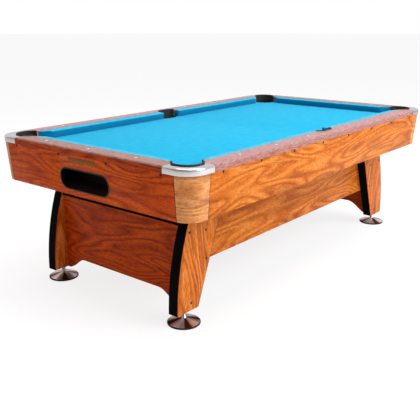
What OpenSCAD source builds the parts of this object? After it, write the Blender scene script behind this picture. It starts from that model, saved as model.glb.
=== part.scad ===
// Home pool table with a ball return: tapered cabinet, padded rails, six pockets, four board legs.
// Frame: X along the table, Y across it, Z up. The ball-return end is at -X.
// The origin lies on the floor under the middle of the table. All sizes are in millimetres.

/* [Table] */
// Length over the rails
table_l = 2286; // [1900:1:2800]
// Width over the rails
table_w = 1270; // [1050:1:1530]
// Height of the rail tops above the floor
table_h = 765; // [635:1:920]

/* [Rails] */
// Thickness of a rail at its outer edge
rail_t = 30; // [24:1:40]
// Width of the wooden part of a rail
rail_w = 85; // [70:1:100]
// Radius of the rounded outer edge of the rails
rail_edge_r = 10; // [4:1:14]
// Width of the rail's foot that stands on the bed
rail_foot_w = 43; // [30:1:55]
// Radius of the rails at the four corners, seen from above
rail_corner_r = 90; // [60:1:110]
// Length of a corner cap along each side
cap_len = 148; // [135:1:170]
// Wall of the hollow corner caps
cap_wall = 4; // [2:0.5:8]
// Depth of the cushions in front of the wood
cushion_w = 42; // [30:1:55]
// How far the bed lies below the rail tops
bed_drop = 40; // [34:1:46]
// Radius of a sight dot
sight_r = 6; // [3:0.5:10]
// Distance of the sight dots from the rail's outer edge
sight_inset = 46; // [30:1:60]
// Distance of the first side sight from the side pocket's centre
sight_first = 214; // [150:1:260]
// Distance between sights along the sides
sight_step = 279; // [180:1:300]
// Distance between sights across the ends
sight_end_step = 298; // [150:1:320]

/* [Bed] */
// Thickness of the bed board
bed_t = 20; // [12:1:30]
// Thickness of the bed cloth
cloth_t = 1.5; // [0.8:0.1:3]
// Gap between the bed board and the cabinet around it
bed_gap = 4; // [2:0.5:10]

/* [Pockets] */
// Distance of a corner pocket's centre from the two outer edges
corner_pocket_inset = 115; // [105:1:125]
// Inner radius of a corner pocket
pocket_r = 63; // [56:1:68]
// Distance of a side pocket's centre line from the outer edge
side_pocket_inset = 92; // [88:1:100]
// Inner radius of a side pocket's rounded ends
side_pocket_r = 32; // [30:0.5:36]
// Straight length between a side pocket's rounded ends
side_pocket_l = 58; // [40:1:70]
// Wall of the pocket liners
liner_wall = 4; // [3:0.5:6]
// Height of the rubber lip above the rail tops
lip_h = 4; // [2:0.5:8]
// Radius of the hole in the bottom of a liner
throat_r = 33; // [31:0.5:36]
// Gap between a corner pocket and the back end of a cushion
corner_gap = 6.5; // [2:0.5:20]
// How far a cushion's nose end lies behind its back end at a corner pocket
corner_flare = 56; // [30:1:80]
// Gap between a side pocket and the back end of a cushion
side_gap = 2.5; // [1:0.5:15]
// How far a cushion's nose end lies behind its back end at a side pocket
side_flare = 0; // [0:1:25]

/* [Cabinet] */
// Height of the side and end boards
apron_h = 193; // [150:1:240]
// Thickness of the side and end boards
apron_t = 16; // [12:1:25]
// How far the boards lean inwards from top to bottom
apron_lean = 15; // [5:1:30]
// How far the rails stand out over the boards
rail_overhang = 2; // [0:0.5:6]
// Length of the straight part of a corner block along the side
corner_block_ext = 35; // [10:1:60]
// Number of bearers under the bed, counted in pairs
bearer_pairs = 2; // [2:1:3]
// Thickness of a bearer
bearer_t = 18; // [12:1:30]

/* [Ball return] */
// Length of the return opening
window_l = 320; // [240:1:360]
// Height of the return opening
window_h = 94; // [80:1:110]
// Corner radius of the return opening
window_r = 42; // [20:1:47]
// Height of the opening's centre above the bottom of the cabinet
window_z = 78; // [60:1:95]
// Width of the trim around the opening
trim_w = 5; // [3:0.5:10]
// Outer width of a ball run
run_w = 90; // [84:1:100]
// Wall of the ball runs and the tray
run_wall = 3; // [2:0.5:5]
// Height of the ball runs
run_h = 45; // [36:1:60]
// Fall of a ball run from the far end to the near end
run_fall = 28; // [15:1:34]
// Depth of the ball tray from front to back
tray_d = 124; // [110:1:160]
// Fall of the tray's floor from its ends to the middle
tray_fall = 20; // [10:1:25]

/* [Legs] */
// Distance of the legs' outer faces from the table's outer edge
leg_inset = 183; // [150:1:260]
// Thickness of a leg
leg_t = 52; // [36:1:70]
// Height of the legs' lower ends above the floor
leg_lift = 60; // [50:1:80]
// Distance from the table's end to the toe of a leg
toe_inset = 115; // [80:1:200]
// Width of a leg at its lower end
leg_foot_w = 142; // [110:1:180]
// Lean of the inner edge: millimetres sideways for one upwards
leg_lean = 0.381; // [0.2:0.005:0.5]
// Radius of the curved outer edge
leg_curve_r = 1150; // [900:10:2500]
// Thickness of the black edge bands
band_t = 2; // [1:0.5:4]

/* [Skirts and end panels] */
// Thickness of the skirts and end panels
panel_t = 16; // [12:1:25]
// Height of the skirts
skirt_h = 298; // [200:1:340]
// Distance of an end panel's outer face from the table's end
panel_inset = 198; // [170:1:260]
// Height of the arch above the legs' lower ends
arch_h = 64; // [30:1:120]
// Length of the rounded part at each end of the arch
arch_round = 120; // [50:1:150]
// Width of an end panel's foot
panel_foot_w = 20; // [10:1:90]
// Height of the black strip under the end of the cabinet
strip_h = 18; // [6:1:20]
// Distance from the cabinet's bottom to the black strip
strip_drop = 81; // [40:1:90]

/* [Feet] */
// Radius of the foot's rubber ring
foot_r = 76; // [50:1:85]
// Height of the rubber ring
ring_h = 8; // [5:0.5:12]
// Height of the metal cone above the ring
cone_h = 18; // [10:1:24]
// Radius of the flat top of the cone
cone_top_r = 15; // [13.5:0.5:20]
// Radius of the threaded stem
stem_r = 10; // [6:0.5:12]
// Length of the stem above the cone
stem_l = 100; // [80:1:120]
// Radial gap between the stem and what it turns in
stem_gap = 0.3; // [0.1:0.05:0.5]

/* [Fasteners] */
// Radius of a screw's head
screw_head_r = 6; // [4:0.5:8]
// Height of a screw's head
screw_head_h = 2; // [1:0.25:2.5]
// Radius of a screw's shank
screw_r = 3; // [2:0.25:4]
// Length of a screw's shank
screw_l = 14; // [8:1:15]
// Gap around a screw's shank
screw_gap = 0.2; // [0.1:0.05:0.5]

/* [Hidden] */
$fn = 64;

wood = "peru";
rail_wood = "rosybrown";
cloth = "deepskyblue";
black = "black";
chrome = "silver";

half_l = table_l / 2;
half_w = table_w / 2;
// Signs of X and Y at the four corners: near right, near left, far right, far left.
NEAR_RIGHT = [-1, -1];
NEAR_LEFT = [-1, 1];
FAR_RIGHT = [1, -1];
FAR_LEFT = [1, 1];
CORNERS = [NEAR_RIGHT, NEAR_LEFT, FAR_RIGHT, FAR_LEFT];

// Heights
rail_z = table_h - rail_t;
bed_z = table_h - bed_drop;
cloth_z = bed_z - cloth_t;
bed_under_z = cloth_z - bed_t;
base_z = rail_z - apron_h;

// Cabinet boards: distance of the outer face from the table's edge at height z
function apron_out(z) = rail_overhang + apron_lean * (rail_z - z) / apron_h;
function apron_in(z) = apron_out(z) + apron_t;
apron_angle = atan(apron_lean / apron_h);
block_seam = rail_corner_r + corner_block_ext;

// Rails and cushions
nose = rail_w + cushion_w;
cushion_top = table_h - 1;
nose_z = table_h - 3;
cushion_under = bed_z + 1;
cushion_undercut = 9;

// Pockets
liner_gap = 0.5;
liner_r = pocket_r + liner_wall;
bore_r = liner_r + liner_gap;
side_liner_r = side_pocket_r + liner_wall;
side_bore_r = side_liner_r + liner_gap;
funnel_z = bed_under_z - 2;
throat_z = funnel_z - 22;
lip_w = liner_wall + 2.5;
bore_reach = corner_pocket_inset - rail_w;
bore_half = sqrt(bore_r * bore_r - bore_reach * bore_reach);
corner_open = (bore_half - bore_reach) / sqrt(2) - 1;
corner_back = corner_pocket_inset + bore_half + corner_gap;
corner_nose = corner_back + corner_flare;
side_back = side_pocket_l / 2 + side_bore_r + side_gap;
side_nose = side_back + side_flare;

// Ball return: the tray stands against the near board and takes the near ends of both runs.
ball_d = 57.2;
window_cz = base_z + window_z;
tray_floor_z = window_cz - window_h / 2 - 2;
tray_under_z = tray_floor_z - run_wall;
tray_top_z = window_cz + window_h / 2 + 2;
function tray_front_x(z) = -half_l + apron_in(z);
tray_back_x = tray_front_x(tray_under_z) + tray_d;
run_y = half_w - (corner_pocket_inset + side_pocket_inset) / 2 - 2.5;
run_near_x = tray_back_x - 2 * run_wall;
run_far_x = half_l - corner_pocket_inset + run_w / 2 + 8;
run_len = run_far_x - run_near_x;
run_near_z = throat_z - ball_d - 4 - run_fall - run_wall;
run_angle = atan(run_fall / run_len);
function run_under(x) = run_near_z + (x - run_near_x) * run_fall / run_len;
tray_half_w = run_y + run_w / 2 + run_wall + 2;
tray_chamfer = tray_half_w - (half_w - rail_corner_r) + 4;

// Legs
leg_y = half_w - leg_inset;
leg_in_y = leg_y - leg_t;
toe_x = half_l - toe_inset;
heel_x = toe_x - leg_foot_w;
foot_x = toe_x - leg_foot_w / 2;
foot_y = leg_y - leg_t / 2;
function leg_out_x(z) =
    toe_x - leg_curve_r + sqrt(leg_curve_r * leg_curve_r - (z - leg_lift) * (z - leg_lift));
function leg_in_x(z) = heel_x - leg_lean * (z - leg_lift);
function leg_heights(n) = [for (i = [0:n]) leg_lift + (base_z - leg_lift) * i / n];
bearer_x = (leg_out_x(base_z) + leg_in_x(base_z)) / 2;

// Skirts and end panels
panel_x = half_l - panel_inset;
skirt_len = 2 * (panel_x - panel_t);

// Feet
cone_z = ring_h;
cone_top_z = cone_z + cone_h;
stem_foot_z = ring_h + 4;
stem_top_z = cone_top_z + stem_l;
bush_flange_t = 3;
bush_flange_r = stem_r + 12;
bush_r = stem_r + 5;
bush_l = 25;
stem_hole_top = stem_top_z + 38;

// Screws: along the tops of the cabinet boards, and four in each leg
apron_screw_z = rail_z - 8;
side_screw_step = (table_l - 2 * 205) / 7;
end_screw_step = (table_w - 2 * 158) / 3;
side_screws = [for (i = [0:7]) (i - 3.5) * side_screw_step];
end_screws = [for (i = [0:3]) (i - 1.5) * end_screw_step];
screw_margin = 26;
leg_screws = [
    [leg_out_x(base_z - 112) - screw_margin, base_z - 112],
    [leg_in_x(base_z - 127) + 80, base_z - 127],
    [leg_in_x(base_z - 263) + screw_margin, base_z - 263],
    [foot_x - 22, leg_lift + 36]
];

// ---- helpers ----

// Extrudes an outline drawn as (Y, Z) along X.
module along_x(len) rotate([90, 0, 90]) linear_extrude(len, center = true) children();

// Extrudes an outline drawn as (X, Z) along Y.
module along_y(len) rotate([90, 0, 0]) linear_extrude(len, center = true) children();

// Copies a piece drawn at the far left corner to another corner.
module at_corner(c) scale_sign(c) children();
module scale_sign(c) mirror([c[0] < 0 ? 1 : 0, 0, 0]) mirror([0, c[1] < 0 ? 1 : 0, 0]) children();

// Points of an arc about (cx, cy) from angle a to angle b.
function arc(cx, cy, r, a, b, n) =
    [for (i = [0:n]) let (t = a + (b - a) * i / n) [cx + r * cos(t), cy + r * sin(t)]];

// Puts a piece drawn at a corner's centre of curvature into place.
module at_corner_centre() translate([half_l - rail_corner_r, half_w - rail_corner_r, 0]) children();

// A plate with rounded corners, centred, standing in the YZ plane.
module rounded_plate(len, high, r, thick) {
    rotate([90, 0, 90]) linear_extrude(thick, center = true) union() {
        square([len - 2 * r, high], center = true);
        square([len, high - 2 * r], center = true);
        for (sx = [-1, 1], sy = [-1, 1])
            translate([sx * (len / 2 - r), sy * (high / 2 - r)]) circle(r);
    }
}

// ---- bed ----

// Plan of the bed, shrunk by a margin inside the cabinet boards.
module bed_plan(margin) {
    inset = apron_in(bed_under_z) + margin;
    r = rail_corner_r - inset;
    union() {
        square([table_l - 2 * inset, table_w - 2 * rail_corner_r], center = true);
        square([table_l - 2 * rail_corner_r, table_w - 2 * inset], center = true);
        for (c = CORNERS)
            translate([c[0] * (half_l - rail_corner_r), c[1] * (half_w - rail_corner_r)]) circle(r);
    }
}

// A block with two rounded ends, lying along X.
module slot(r, len, z, high) {
    for (s = [-1, 1]) translate([s * len / 2, 0, z]) cylinder(h = high, r = r);
    translate([-len / 2, -r, z]) cube([len, 2 * r, high]);
}

module pocket_bores(z, high) {
    for (c = CORNERS)
        translate([c[0] * (half_l - corner_pocket_inset), c[1] * (half_w - corner_pocket_inset), z])
            cylinder(h = high, r = bore_r);
    for (s = [-1, 1])
        translate([0, s * (half_w - side_pocket_inset), 0]) slot(side_bore_r, side_pocket_l, z, high);
}

module bed_panel() {
    color("tan") difference() {
        translate([0, 0, bed_under_z]) linear_extrude(bed_t) bed_plan(bed_gap);
        pocket_bores(bed_under_z - 1, bed_t + 2);
    }
}

module bed_cloth() {
    color(cloth) difference() {
        translate([0, 0, cloth_z]) linear_extrude(cloth_t) bed_plan(bed_gap + 1);
        pocket_bores(cloth_z - 1, cloth_t + 2);
    }
}

// A cross board that carries the bed, with notches that the ball runs lie in.
module bed_bearer(x) {
    notch_w = run_w + 2;
    notch_z = run_under(x - bearer_t / 2);
    translate([x, 0, 0]) difference() {
        rotate([90, 0, 90]) linear_extrude(bearer_t, center = true) polygon([
            [-(half_w - apron_in(base_z)), base_z], [half_w - apron_in(base_z), base_z],
            [half_w - apron_in(bed_under_z), bed_under_z],
            [-(half_w - apron_in(bed_under_z)), bed_under_z]
        ]);
        for (s = [-1, 1]) translate([-bearer_t, s * run_y - notch_w / 2, notch_z])
            cube([2 * bearer_t, notch_w, bed_under_z - notch_z + 1]);
    }
}

module bed_bearers() {
    color("burlywood")
        for (s = [-1, 1], i = [1:bearer_pairs])
            bed_bearer(s * bearer_x * (2 * i - 1) / (2 * bearer_pairs - 1));
}

// ---- rails ----

// Section of a rail as (distance from the outer edge, Z).
rail_section = concat(
    [[0, rail_z]],
    arc(rail_edge_r, table_h - rail_edge_r, rail_edge_r, 180, 90, 8),
    [[rail_w, table_h], [rail_w, bed_z], [rail_w - rail_foot_w, bed_z],
     [rail_w - rail_foot_w, rail_z]]
);

module rail_right() {
    color(rail_wood) difference() {
        translate([0, -half_w, 0]) along_x(table_l - 2 * cap_len) polygon(rail_section);
        pocket_bores(bed_z - 1, bed_drop + 2);
    }
}

module rail_left() mirror([0, 1, 0]) rail_right();

module rail_near_end() {
    color(rail_wood) difference() {
        translate([-half_l, 0, 0]) along_y(table_w - 2 * cap_len) polygon(rail_section);
        pocket_bores(bed_z - 1, bed_drop + 2);
    }
}

module rail_far_end() mirror([1, 0, 0]) rail_near_end();

// Inlaid dots: three on each half of a long rail and three on each end.
module rail_sights() {
    dot_t = 0.8;
    color("white") {
        for (s = [-1, 1], d = [-1, 1], i = [0:2])
            translate([d * (sight_first + i * sight_step), s * (half_w - sight_inset), table_h])
                cylinder(h = dot_t, r = sight_r, $fn = 24);
        for (s = [-1, 1], i = [-1:1])
            translate([s * (half_l - sight_inset), i * sight_end_step, table_h])
                cylinder(h = dot_t, r = sight_r, $fn = 24);
    }
}

// ---- cushions ----

// Section of a cushion as (distance from the outer edge, Z).
cushion_section = [
    [rail_w, cushion_under], [rail_w, cushion_top], [nose - 6, cushion_top], [nose, nose_z],
    [nose, nose_z - 8], [nose - cushion_undercut, cushion_under]
];

// Cushion on the right rail, from the side pocket to the far corner.
module cushion_right_far() {
    color(cloth) intersection() {
        translate([0, -half_w, 0]) along_x(table_l) polygon(cushion_section);
        translate([0, -half_w, cushion_under - 1]) linear_extrude(bed_drop) polygon([
            [side_back, rail_w], [half_l - corner_back, rail_w],
            [half_l - corner_nose, nose + 1], [side_nose, nose + 1]
        ]);
    }
}

module cushion_right_near() mirror([1, 0, 0]) cushion_right_far();
module cushion_left_far() mirror([0, 1, 0]) cushion_right_far();
module cushion_left_near() mirror([1, 0, 0]) mirror([0, 1, 0]) cushion_right_far();

module cushion_near_end() {
    back = half_w - corner_back;
    front = half_w - corner_nose;
    color(cloth) intersection() {
        translate([-half_l, 0, 0]) along_y(table_w) polygon(cushion_section);
        translate([-half_l, 0, cushion_under - 1]) linear_extrude(bed_drop)
            polygon([[rail_w, -back], [rail_w, back], [nose + 1, front], [nose + 1, -front]]);
    }
}

module cushion_far_end() mirror([1, 0, 0]) cushion_near_end();

// ---- corner caps ----

// Outer body of a cap, less a margin all round and on top.
module cap_body(margin, under) {
    r = rail_corner_r - margin;
    edge = max(rail_edge_r - margin, 1);
    top = table_h - margin;
    section = concat([[0, under], [0, top]], arc(r - edge, top - edge, edge, 90, 0, 8), [[r, under]]);
    reach = cap_len - rail_corner_r - margin;
    at_corner_centre() {
        rotate_extrude(angle = 90) polygon(section);
        translate([-reach / 2, 0, 0]) along_x(reach) polygon(concat([[-reach, under], [-reach, top]],
            arc(r - edge, top - edge, edge, 90, 0, 8), [[r, under]]));
        translate([0, -reach / 2, 0]) along_y(reach) polygon(concat([[-reach, under], [-reach, top]],
            arc(r - edge, top - edge, edge, 90, 0, 8), [[r, under]]));
    }
}

module corner_cap(c) {
    color(chrome) at_corner(c) difference() {
        cap_body(0, rail_z);
        difference() {
            cap_body(cap_wall, rail_z - 1);
            translate([half_l - corner_pocket_inset, half_w - corner_pocket_inset, rail_z - 2])
                cylinder(h = rail_t, r = bore_r + cap_wall);
        }
        translate([half_l - corner_pocket_inset, half_w - corner_pocket_inset, rail_z - 2])
            cylinder(h = rail_t + 4, r = bore_r);
    }
}

module corner_cap_near_right() corner_cap(NEAR_RIGHT);
module corner_cap_near_left() corner_cap(NEAR_LEFT);
module corner_cap_far_right() corner_cap(FAR_RIGHT);
module corner_cap_far_left() corner_cap(FAR_LEFT);

// ---- pocket liners ----

// A cup with a raised lip, a funnel and a hole in its bottom, about the Z axis.
module liner() {
    rotate_extrude() polygon([
        [pocket_r, table_h + lip_h - 2], [pocket_r + 2, table_h + lip_h],
        [pocket_r + lip_w - 2, table_h + lip_h], [pocket_r + lip_w, table_h + lip_h - 2],
        [pocket_r + lip_w, table_h], [liner_r, table_h], [liner_r, funnel_z],
        [throat_r + liner_wall, throat_z], [throat_r, throat_z], [pocket_r, funnel_z]
    ]);
}

module corner_pocket(c) {
    reach = liner_r + lip_w;
    color(black) at_corner(c)
        translate([half_l - corner_pocket_inset, half_w - corner_pocket_inset, 0])
            rotate([0, 0, 45]) difference() {
                liner();
                translate([-corner_open - reach, -reach, bed_z]) cube([reach, 2 * reach, bed_drop + 10]);
            }
}

module corner_pocket_near_right() corner_pocket(NEAR_RIGHT);
module corner_pocket_near_left() corner_pocket(NEAR_LEFT);
module corner_pocket_far_right() corner_pocket(FAR_RIGHT);
module corner_pocket_far_left() corner_pocket(FAR_LEFT);

// A sleeve with rounded ends, open towards the bed and open below.
module side_pocket_left() {
    reach = side_pocket_l + 4 * side_liner_r;
    color(black) translate([0, half_w - side_pocket_inset, 0]) difference() {
        union() {
            slot(side_liner_r, side_pocket_l, throat_z, table_h - throat_z);
            slot(side_pocket_r + lip_w, side_pocket_l, table_h, lip_h);
        }
        slot(side_pocket_r, side_pocket_l, throat_z - 1, table_h - throat_z + lip_h + 2);
        translate([-reach / 2, side_pocket_inset - rail_w - reach, bed_z])
            cube([reach, reach, bed_drop + 10]);
    }
}

module side_pocket_right() mirror([0, 1, 0]) side_pocket_left();

// ---- cabinet ----

// Section of a cabinet board as (distance from the table's outer edge, Z).
apron_section = [
    [apron_out(base_z), base_z], [apron_out(rail_z), rail_z],
    [apron_in(rail_z), rail_z], [apron_in(base_z), base_z]
];

// Turns a screw drawn along -Y from y = 0 square onto the leaning face of a board.
module on_side_face(x, z) translate([x, -half_w + apron_out(z), z]) rotate([apron_angle, 0, 0]) children();
module on_end_face(y, z) translate([-half_l + apron_out(z), y, z])
    rotate([0, 0, -90]) rotate([apron_angle, 0, 0]) children();

module screw_hole() {
    rotate([90, 0, 0]) translate([0, 0, -screw_l - 1]) cylinder(h = screw_l + 3, r = screw_r + screw_gap);
}

module apron_right() {
    color(wood) difference() {
        translate([0, -half_w, 0]) along_x(table_l - 2 * block_seam) polygon(apron_section);
        for (x = side_screws) on_side_face(x, apron_screw_z) screw_hole();
    }
}

module apron_left() mirror([0, 1, 0]) apron_right();

module end_apron() {
    difference() {
        translate([-half_l, 0, 0]) along_y(table_w - 2 * rail_corner_r) polygon(apron_section);
        for (y = end_screws) on_end_face(y, apron_screw_z) screw_hole();
    }
}

module apron_near_end() {
    color(wood) difference() {
        end_apron();
        translate([-half_l, 0, window_cz]) rounded_plate(window_l, window_h, window_r, 4 * apron_t);
    }
}

module apron_far_end() color(wood) mirror([1, 0, 0]) end_apron();

module corner_block(c) {
    turned = [for (p = apron_section) [rail_corner_r - p[0], p[1]]];
    color(wood) at_corner(c) at_corner_centre() {
        rotate_extrude(angle = 90) polygon(turned);
        translate([-corner_block_ext / 2, 0, 0]) along_x(corner_block_ext) polygon(turned);
    }
}

module corner_block_near_right() corner_block(NEAR_RIGHT);
module corner_block_near_left() corner_block(NEAR_LEFT);
module corner_block_far_right() corner_block(FAR_RIGHT);
module corner_block_far_left() corner_block(FAR_LEFT);

// A thin sheet lying on the leaning outer face of the near end.
module face_sheet(thick) {
    translate([-half_l, 0, 0]) along_y(table_w - 2 * rail_corner_r) polygon([
        [apron_out(base_z), base_z], [apron_out(rail_z), rail_z],
        [apron_out(rail_z) - thick, rail_z], [apron_out(base_z) - thick, base_z]
    ]);
}

module blank_plate() {
    plate_l = 180;
    plate_h = 20;
    color("darkkhaki") intersection() {
        face_sheet(1);
        translate([-half_l, 0, apron_screw_z - 15]) rounded_plate(plate_l, plate_h, 4, 4 * apron_t);
    }
}

module return_trim() {
    color(black) intersection() {
        face_sheet(1.6);
        difference() {
            translate([-half_l, 0, window_cz])
                rounded_plate(window_l + 2 * trim_w, window_h + 2 * trim_w, window_r + trim_w, 4 * apron_t);
            translate([-half_l, 0, window_cz]) rounded_plate(window_l, window_h, window_r, 5 * apron_t);
        }
    }
}

// ---- ball return ----

// Outline of the tray, standing against the near board, less a margin all round.
module tray_block(margin, under, top) {
    w = tray_half_w - margin;
    cut = tray_chamfer;
    front = tray_front_x(tray_under_z) - 20;
    back = tray_back_x - margin;
    chamfer_x = tray_front_x(tray_under_z) + margin * 0.4;
    intersection() {
        along_y(2 * w) polygon([
            [tray_front_x(under) + margin, under], [tray_front_x(top) + margin, top],
            [back, top], [back, under]
        ]);
        translate([0, 0, under - 1]) linear_extrude(top - under + 2) polygon([
            [front, -w + cut - 0.4 * margin], [chamfer_x, -w + cut - 0.4 * margin],
            [chamfer_x + cut, -w - 1], [back, -w - 1], [back, w + 1], [chamfer_x + cut, w + 1],
            [chamfer_x, w - cut + 0.4 * margin], [front, w - cut + 0.4 * margin]
        ]);
    }
}

// Room above the tray's floor, which falls from both ends to the middle.
module tray_room() {
    translate([tray_back_x - tray_d / 2, 0, 0]) along_x(2 * tray_d) polygon([
        [-tray_half_w, tray_top_z + 2], [-tray_half_w, tray_floor_z + tray_fall],
        [0, tray_floor_z], [tray_half_w, tray_floor_z + tray_fall],
        [tray_half_w, tray_top_z + 2]
    ]);
}

// Box across the near end, with no front wall behind the opening.
module return_tray() {
    notch = run_w + 1;
    color(black) difference() {
        tray_block(0, tray_under_z, tray_top_z);
        intersection() {
            tray_block(run_wall, tray_under_z - 1, tray_top_z + 1);
            tray_room();
        }
        intersection() {
            translate([tray_front_x(window_cz), 0, window_cz])
                cube([2 * apron_t, window_l, 2 * window_h], center = true);
            tray_room();
        }
        for (s = [-1, 1]) translate([tray_back_x - 2.5 * run_wall, s * run_y - notch / 2, run_near_z])
            cube([5 * run_wall, notch, tray_top_z]);
    }
}

// Trough under the pockets of one long side, falling towards the tray.
module ball_run_left() {
    inner = run_w - 2 * run_wall;
    color(black) translate([run_near_x, run_y, run_near_z]) rotate([0, -run_angle, 0]) difference() {
        translate([0, -run_w / 2, 0]) cube([run_len, run_w, run_h]);
        translate([-run_wall, -inner / 2, run_wall]) cube([run_len, inner, run_h]);
    }
}

module ball_run_right() translate([0, -2 * run_y, 0]) ball_run_left();

// ---- skirts and end panels ----

module skirt_right() {
    color(wood) translate([-skirt_len / 2, -leg_in_y, base_z - skirt_h])
        cube([skirt_len, panel_t, skirt_h]);
}

module skirt_left() mirror([0, 1, 0]) skirt_right();

// Points along the rounded end of the arch, from the foot up to the flat.
function arch_end(side) =
    [for (i = [0:12]) let (t = i / 12)
        [side * (leg_in_y - panel_foot_w - arch_round * t), leg_lift + arch_h * pow(sin(90 * t), 1.4)]];
function reversed(list) = [for (i = [len(list) - 1:-1:0]) list[i]];

module end_panel_far() {
    color(wood) translate([panel_x - panel_t / 2, 0, 0]) along_x(panel_t) polygon(concat(
        [[leg_in_y, base_z], [leg_in_y, leg_lift]], arch_end(1), reversed(arch_end(-1)),
        [[-leg_in_y, leg_lift], [-leg_in_y, base_z]]
    ));
}

module end_panel_near() mirror([1, 0, 0]) end_panel_far();

// ---- legs ----

// A leg at the far left corner.
module leg_board() {
    edge = leg_heights(16);
    difference() {
        translate([0, leg_y - leg_t / 2, 0]) along_y(leg_t) polygon(concat(
            [for (z = edge) [leg_out_x(z) - band_t, z]],
            [[leg_in_x(base_z) + band_t, base_z], [heel_x + band_t, leg_lift]]
        ));
        translate([foot_x, foot_y, leg_lift - 1]) cylinder(h = bush_l + 1, r = bush_r + 0.2);
        translate([foot_x, foot_y, leg_lift - 1]) cylinder(h = stem_hole_top - leg_lift, r = stem_r + 2);
        for (p = leg_screws) translate([p[0], leg_y, p[1]]) mirror([0, 1, 0]) screw_hole();
    }
}

module leg(c) color(wood) at_corner(c) leg_board();
module leg_near_right() leg(NEAR_RIGHT);
module leg_near_left() leg(NEAR_LEFT);
module leg_far_right() leg(FAR_RIGHT);
module leg_far_left() leg(FAR_LEFT);

// Black bands on the two narrow edges of every leg, and the strip across the top of each end panel.
module edge_bands() {
    edge = leg_heights(16);
    strip_out = 5;
    strip_half = leg_in_y - 1;
    color(black) {
        for (c = CORNERS) at_corner(c) {
            translate([0, leg_y - leg_t / 2, 0]) along_y(leg_t) polygon(concat(
                [for (z = edge) [leg_out_x(z), z]],
                reversed([for (z = edge) [leg_out_x(z) - band_t, z]])
            ));
            translate([0, leg_y - leg_t / 2, 0]) along_y(leg_t) polygon([
                [heel_x, leg_lift], [heel_x + band_t, leg_lift],
                [leg_in_x(base_z) + band_t, base_z], [leg_in_x(base_z), base_z]
            ]);
        }
        for (s = [-1, 1]) translate([s * (panel_x + strip_out / 2), 0, base_z - strip_drop])
            cube([strip_out, 2 * strip_half, strip_h], center = true);
    }
}

// ---- screws ----

// A pan-headed screw standing on the plane y = 0 with its shank along +Y.
module screw() {
    rotate([-90, 0, 0]) {
        translate([0, 0, -screw_head_h]) cylinder(h = screw_head_h, r1 = screw_head_r - 1.5,
            r2 = screw_head_r, $fn = 24);
        cylinder(h = screw_l, r = screw_r, $fn = 24);
    }
}

module cabinet_screws() {
    color("dimgray") {
        for (c = CORNERS) at_corner(c)
            for (p = leg_screws) translate([p[0], leg_y, p[1]]) mirror([0, 1, 0]) screw();
        for (s = [0, 1]) mirror([0, s, 0])
            for (x = side_screws) on_side_face(x, apron_screw_z) screw();
        for (s = [0, 1]) mirror([s, 0, 0])
            for (y = end_screws) on_end_face(y, apron_screw_z) screw();
    }
}

// ---- feet ----

module at_foot(c) translate([c[0] * foot_x, c[1] * foot_y, 0]) children();

// Threaded bushes pressed into the legs' lower ends.
module foot_bushes() {
    color("gray") for (c = CORNERS) at_foot(c) difference() {
        union() {
            translate([0, 0, leg_lift]) cylinder(h = bush_l, r = bush_r);
            translate([0, 0, leg_lift - bush_flange_t]) cylinder(h = bush_flange_t, r = bush_flange_r);
        }
        translate([0, 0, leg_lift - bush_flange_t - 1])
            cylinder(h = bush_l + bush_flange_t + 2, r = stem_r + stem_gap);
    }
}

// Metal cone with a socket for the stem.
module foot_cone(c) {
    color("rosybrown") at_foot(c) rotate_extrude() polygon([
        [0, cone_z - 4], [foot_r - 8, cone_z - 4], [foot_r - 8, cone_z], [foot_r - 3, cone_z],
        [foot_r - 3, cone_z + 1.5], [cone_top_r, cone_top_z],
        [stem_r + stem_gap, cone_top_z], [stem_r + stem_gap, stem_foot_z - stem_gap],
        [0, stem_foot_z - stem_gap]
    ]);
}

module foot_cone_near_right() foot_cone(NEAR_RIGHT);
module foot_cone_near_left() foot_cone(NEAR_LEFT);
module foot_cone_far_right() foot_cone(FAR_RIGHT);
module foot_cone_far_left() foot_cone(FAR_LEFT);

// Rubber ring that the cone stands in.
module foot_ring(c) {
    color(black) at_foot(c) rotate_extrude() polygon([
        [0, 0], [foot_r - 1.5, 0], [foot_r, 1.5], [foot_r, ring_h - 1], [foot_r - 1, ring_h],
        [foot_r - 8, ring_h], [foot_r - 8, ring_h - 4], [0, ring_h - 4]
    ]);
}

module foot_ring_near_right() foot_ring(NEAR_RIGHT);
module foot_ring_near_left() foot_ring(NEAR_LEFT);
module foot_ring_far_right() foot_ring(FAR_RIGHT);
module foot_ring_far_left() foot_ring(FAR_LEFT);

module foot_stem(c) {
    color(chrome) at_foot(c) union() {
        translate([0, 0, stem_foot_z]) cylinder(h = stem_top_z - 2 - stem_foot_z, r = stem_r);
        translate([0, 0, stem_top_z - 2]) cylinder(h = 2, r1 = stem_r, r2 = stem_r - 2);
    }
}

module foot_stem_near_right() foot_stem(NEAR_RIGHT);
module foot_stem_near_left() foot_stem(NEAR_LEFT);
module foot_stem_far_right() foot_stem(FAR_RIGHT);
module foot_stem_far_left() foot_stem(FAR_LEFT);

bed_panel();
bed_cloth();
bed_bearers();
rail_right();
rail_left();
rail_near_end();
rail_far_end();
rail_sights();
cushion_right_near();
cushion_right_far();
cushion_left_near();
cushion_left_far();
cushion_near_end();
cushion_far_end();
corner_cap_near_right();
corner_cap_near_left();
corner_cap_far_right();
corner_cap_far_left();
corner_pocket_near_right();
corner_pocket_near_left();
corner_pocket_far_right();
corner_pocket_far_left();
side_pocket_right();
side_pocket_left();
apron_right();
apron_left();
apron_near_end();
apron_far_end();
corner_block_near_right();
corner_block_near_left();
corner_block_far_right();
corner_block_far_left();
blank_plate();
return_trim();
return_tray();
ball_run_right();
ball_run_left();
skirt_right();
skirt_left();
end_panel_near();
end_panel_far();
leg_near_right();
leg_near_left();
leg_far_right();
leg_far_left();
edge_bands();
cabinet_screws();
foot_bushes();
foot_cone_near_right();
foot_cone_near_left();
foot_cone_far_right();
foot_cone_far_left();
foot_ring_near_right();
foot_ring_near_left();
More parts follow.
